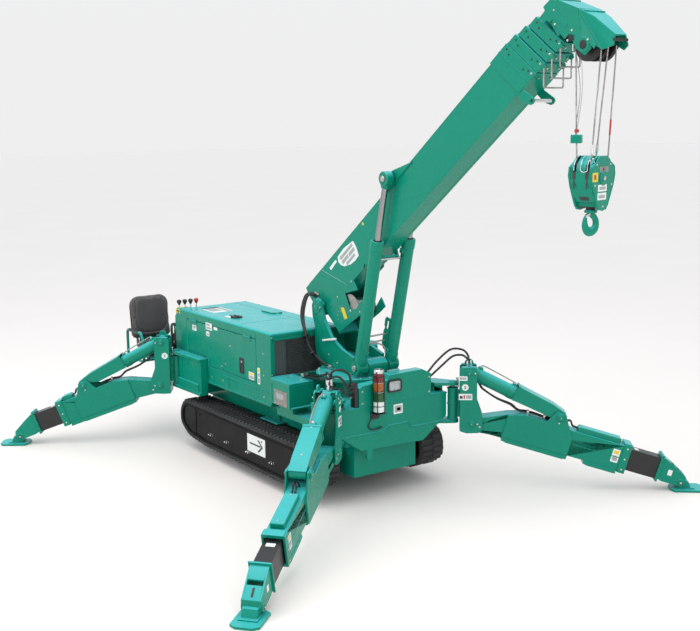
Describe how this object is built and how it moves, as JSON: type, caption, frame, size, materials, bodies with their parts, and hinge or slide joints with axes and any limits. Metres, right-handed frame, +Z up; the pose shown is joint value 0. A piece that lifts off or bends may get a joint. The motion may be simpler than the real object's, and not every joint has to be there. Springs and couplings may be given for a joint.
{
  "type": "spider crane",
  "caption": "Mini tracked crane on spread spider outriggers, with a telescopic derricking boom, hoist hook block, engine hood and a rear operator's seat",
  "frame": {"origin": "centre of the outline's length and width, on the ground under the foot pads", "axes": "+X towards the nose that the boom points over, +Y to the machine's left, +Z up"},
  "size_m": [5.5988, 4.2754, 3.6106],
  "materials": {
    "body_green": "glossy teal-green machine enamel",
    "black_paint": "satin black paint",
    "track_rubber": "moulded black rubber, dull",
    "hard_chrome": "polished hard chrome",
    "bare_steel": "bare drawn steel",
    "dark_iron": "dark cast iron",
    "lamp_glass": "clear ribbed lens",
    "lamp_red": "translucent red, amber and green lenses",
    "seat_vinyl": "grained dark vinyl",
    "black_plastic": "moulded black plastic"
  },
  "bodies": {
    "machine": {"chassis_frame": "body_green", "track_left": "track_rubber", "track_right": "track_rubber", "track_frame_left": "black_paint", "track_frame_right": "black_paint", "engine_hood": "body_green", "hood_grille": "black_paint", "engine_block": "dark_iron", "tank_cover": "body_green", "tool_box": "body_green", "nose_cover": "body_green", "headlight": "lamp_glass", "lamp_tower": "lamp_red", "seat_frame": "body_green", "seat_cushion": "seat_vinyl", "seat_back": "seat_vinyl", "control_console": "body_green", "control_levers": "black_plastic"},
    "door": {"hood_door": "body_green"},
    "column": {"slewing_column": "body_green"},
    "derrick_barrel": {"derrick_barrels": "body_green"},
    "derrick_rod": {"derrick_rods": "hard_chrome"},
    "boom_base": {"boom_base": "body_green"},
    "winch": {"winch_drum": "bare_steel"},
    "boom_2": {"boom_section_2": "body_green"},
    "boom_3": {"boom_section_3": "body_green"},
    "boom_4": {"boom_section_4": "body_green"},
    "boom_5": {"boom_section_5": "body_green", "boom_head": "body_green", "head_sheaves": "dark_iron"},
    "falls": {"hoist_ropes": "bare_steel"},
    "block": {"hook_block": "body_green"},
    "hook": {"hook": "body_green"},
    "leg_front_left_post": {"outrigger_front_left_post": "body_green"},
    "leg_front_left_arm": {"outrigger_front_left_arm": "body_green"},
    "leg_front_left_inner": {"outrigger_front_left_inner_box": "black_paint", "outrigger_front_left_foot": "body_green"},
    "leg_front_left_barrel": {"outrigger_front_left_cylinder": "body_green"},
    "leg_front_left_rod": {"outrigger_front_left_rod": "hard_chrome"},
    "leg_front_right_post": {"outrigger_front_right_post": "body_green"},
    "leg_front_right_arm": {"outrigger_front_right_arm": "body_green"},
    "leg_front_right_inner": {"outrigger_front_right_inner_box": "black_paint", "outrigger_front_right_foot": "body_green"},
    "leg_front_right_barrel": {"outrigger_front_right_cylinder": "body_green"},
    "leg_front_right_rod": {"outrigger_front_right_rod": "hard_chrome"},
    "leg_rear_left_post": {"outrigger_rear_left_post": "body_green"},
    "leg_rear_left_arm": {"outrigger_rear_left_arm": "body_green"},
    "leg_rear_left_inner": {"outrigger_rear_left_inner_box": "black_paint", "outrigger_rear_left_foot": "body_green"},
    "leg_rear_left_barrel": {"outrigger_rear_left_cylinder": "body_green"},
    "leg_rear_left_rod": {"outrigger_rear_left_rod": "hard_chrome"},
    "leg_rear_right_post": {"outrigger_rear_right_post": "body_green"},
    "leg_rear_right_arm": {"outrigger_rear_right_arm": "body_green"},
    "leg_rear_right_inner": {"outrigger_rear_right_inner_box": "black_paint", "outrigger_rear_right_foot": "body_green"},
    "leg_rear_right_barrel": {"outrigger_rear_right_cylinder": "body_green"},
    "leg_rear_right_rod": {"outrigger_rear_right_rod": "hard_chrome"}
  },
  "joints": [
    {"name": "door_hinge", "type": "hinge", "parent": "machine", "child": "door", "pos_m": [-1.061, -0.558, 1.163], "axis": [-1, 0, 0], "range_deg": [0, 80]},
    {"name": "slewing", "type": "hinge", "parent": "machine", "child": "column", "pos_m": [0.199, 0, 0.93], "axis": [0, 0, 1], "continuous": true},
    {"name": "boom_derrick", "type": "hinge", "parent": "column", "child": "boom_base", "pos_m": [-0.158, 0, 1.431], "axis": [0, -1, 0], "range_deg": [-37.6, 42.4]},
    {"name": "derrick_barrel_tilt", "type": "hinge", "parent": "column", "child": "derrick_barrel", "pos_m": [0.429, 0, 1.026], "axis": [0, -1, 0], "range_deg": [-31.5, 35.5]},
    {"name": "derrick_rod_slide", "type": "slide", "parent": "derrick_barrel", "child": "derrick_rod", "axis": [0.2325, 0, 0.9726], "range_m": [-0.41, 0.462]},
    {"name": "winch_spin", "type": "hinge", "parent": "boom_base", "child": "winch", "pos_m": [0.22851, 0, 1.4702], "axis": [0, -1, 0], "continuous": true},
    {"name": "telescope_2", "type": "slide", "parent": "boom_base", "child": "boom_2", "axis": [0.7919, 0, 0.6107], "range_m": [0, 2.2]},
    {"name": "telescope_3", "type": "slide", "parent": "boom_2", "child": "boom_3", "axis": [0.7919, 0, 0.6107], "range_m": [0, 2.2]},
    {"name": "telescope_4", "type": "slide", "parent": "boom_3", "child": "boom_4", "axis": [0.7919, 0, 0.6107], "range_m": [0, 2.2]},
    {"name": "telescope_5", "type": "slide", "parent": "boom_4", "child": "boom_5", "axis": [0.7919, 0, 0.6107], "range_m": [0, 2.2]},
    {"name": "falls_plumb", "type": "hinge", "parent": "boom_5", "child": "falls", "pos_m": [2.60992, 0, 3.33077], "axis": [0, -1, 0], "range_deg": [-43, 43]},
    {"name": "hoist", "type": "slide", "parent": "falls", "child": "block", "axis": [0, 0, -1], "range_m": [-0.25, 2.1], "deforming": ["hoist_ropes"]},
    {"name": "hook_swivel", "type": "hinge", "parent": "block", "child": "hook", "pos_m": [2.639, -0.029, 2.4], "axis": [0, 0, -1], "continuous": true},
    {"name": "front_left_swing", "type": "hinge", "parent": "machine", "child": "leg_front_left_post", "pos_m": [0.679, 0.58, 0.7], "axis": [0, 0, 1], "range_deg": [-30, 35]},
    {"name": "front_left_fold", "type": "hinge", "parent": "leg_front_left_post", "child": "leg_front_left_arm", "pos_m": [0.7752, 0.69509, 0.535], "axis": [0.7672, -0.6414, 0], "range_deg": [-4, 45]},
    {"name": "front_left_extend", "type": "slide", "parent": "leg_front_left_arm", "child": "leg_front_left_inner", "axis": [0.6165, 0.7375, -0.2756], "range_m": [-0.2, 0.4]},
    {"name": "front_left_cylinder_tilt", "type": "hinge", "parent": "leg_front_left_post", "child": "leg_front_left_barrel", "pos_m": [0.76238, 0.67974, 0.945], "axis": [0.7672, -0.6414, 0], "range_deg": [-4, 40.5]},
    {"name": "front_left_rod_slide", "type": "slide", "parent": "leg_front_left_barrel", "child": "leg_front_left_rod", "axis": [0.5753, 0.6882, -0.4422], "range_m": [-0.312, 0.03]},
    {"name": "front_right_swing", "type": "hinge", "parent": "machine", "child": "leg_front_right_post", "pos_m": [0.679, -0.58, 0.7], "axis": [0, 0, -1], "range_deg": [-30, 35]},
    {"name": "front_right_fold", "type": "hinge", "parent": "leg_front_right_post", "child": "leg_front_right_arm", "pos_m": [0.7752, -0.69509, 0.535], "axis": [-0.7672, -0.6414, 0], "range_deg": [-4, 45]},
    {"name": "front_right_extend", "type": "slide", "parent": "leg_front_right_arm", "child": "leg_front_right_inner", "axis": [0.6165, -0.7375, -0.2756], "range_m": [-0.2, 0.4]},
    {"name": "front_right_cylinder_tilt", "type": "hinge", "parent": "leg_front_right_post", "child": "leg_front_right_barrel", "pos_m": [0.76238, -0.67974, 0.945], "axis": [-0.7672, -0.6414, 0], "range_deg": [-4, 40.5]},
    {"name": "front_right_rod_slide", "type": "slide", "parent": "leg_front_right_barrel", "child": "leg_front_right_rod", "axis": [0.5753, -0.6882, -0.4422], "range_m": [-0.312, 0.03]},
    {"name": "rear_left_swing", "type": "hinge", "parent": "machine", "child": "leg_rear_left_post", "pos_m": [-1.791, 0.6, 0.7], "axis": [0, 0, -1], "range_deg": [-6, 30]},
    {"name": "rear_left_fold", "type": "hinge", "parent": "leg_rear_left_post", "child": "leg_rear_left_arm", "pos_m": [-1.87677, 0.72306, 0.55], "axis": [0.8204, 0.5718, 0], "range_deg": [-4, 45]},
    {"name": "rear_left_extend", "type": "slide", "parent": "leg_rear_left_arm", "child": "leg_rear_left_inner", "axis": [-0.5373, 0.7709, -0.342], "range_m": [-0.1, 0.35]},
    {"name": "rear_left_cylinder_tilt", "type": "hinge", "parent": "leg_rear_left_post", "child": "leg_rear_left_barrel", "pos_m": [-1.86534, 0.70665, 0.945], "axis": [0.8204, 0.5718, 0], "range_deg": [-4, 40.5]},
    {"name": "rear_left_rod_slide", "type": "slide", "parent": "leg_rear_left_barrel", "child": "leg_rear_left_rod", "axis": [-0.5035, 0.7223, -0.4741], "range_m": [-0.312, 0.03]},
    {"name": "rear_right_swing", "type": "hinge", "parent": "machine", "child": "leg_rear_right_post", "pos_m": [-1.791, -0.6, 0.7], "axis": [0, 0, 1], "range_deg": [-6, 30]},
    {"name": "rear_right_fold", "type": "hinge", "parent": "leg_rear_right_post", "child": "leg_rear_right_arm", "pos_m": [-1.87677, -0.72306, 0.55], "axis": [-0.8204, 0.5718, 0], "range_deg": [-4, 45]},
    {"name": "rear_right_extend", "type": "slide", "parent": "leg_rear_right_arm", "child": "leg_rear_right_inner", "axis": [-0.5373, -0.7709, -0.342], "range_m": [-0.1, 0.35]},
    {"name": "rear_right_cylinder_tilt", "type": "hinge", "parent": "leg_rear_right_post", "child": "leg_rear_right_barrel", "pos_m": [-1.86534, -0.70665, 0.945], "axis": [-0.8204, 0.5718, 0], "range_deg": [-4, 40.5]},
    {"name": "rear_right_rod_slide", "type": "slide", "parent": "leg_rear_right_barrel", "child": "leg_rear_right_rod", "axis": [-0.5035, -0.7223, -0.4741], "range_m": [-0.312, 0.03]}
  ],
  "couplings": [
    {"joint": "derrick_barrel_tilt", "follows": "boom_derrick", "ratio": 0.826},
    {"joint": "derrick_rod_slide", "follows": "boom_derrick", "m_per_rad": 0.62},
    {"joint": "falls_plumb", "follows": "boom_derrick", "ratio": -1},
    {"joint": "telescope_3", "follows": "telescope_2", "ratio": 1},
    {"joint": "telescope_4", "follows": "telescope_2", "ratio": 1},
    {"joint": "telescope_5", "follows": "telescope_2", "ratio": 1},
    {"joint": "front_left_cylinder_tilt", "follows": "front_left_fold", "ratio": 0.88},
    {"joint": "front_left_rod_slide", "follows": "front_left_fold", "m_per_rad": -0.3956},
    {"joint": "front_right_cylinder_tilt", "follows": "front_right_fold", "ratio": 0.88},
    {"joint": "front_right_rod_slide", "follows": "front_right_fold", "m_per_rad": -0.3956},
    {"joint": "rear_left_cylinder_tilt", "follows": "rear_left_fold", "ratio": 0.88},
    {"joint": "rear_left_rod_slide", "follows": "rear_left_fold", "m_per_rad": -0.378},
    {"joint": "rear_right_cylinder_tilt", "follows": "rear_right_fold", "ratio": 0.88},
    {"joint": "rear_right_rod_slide", "follows": "rear_right_fold", "m_per_rad": -0.378}
  ]
}
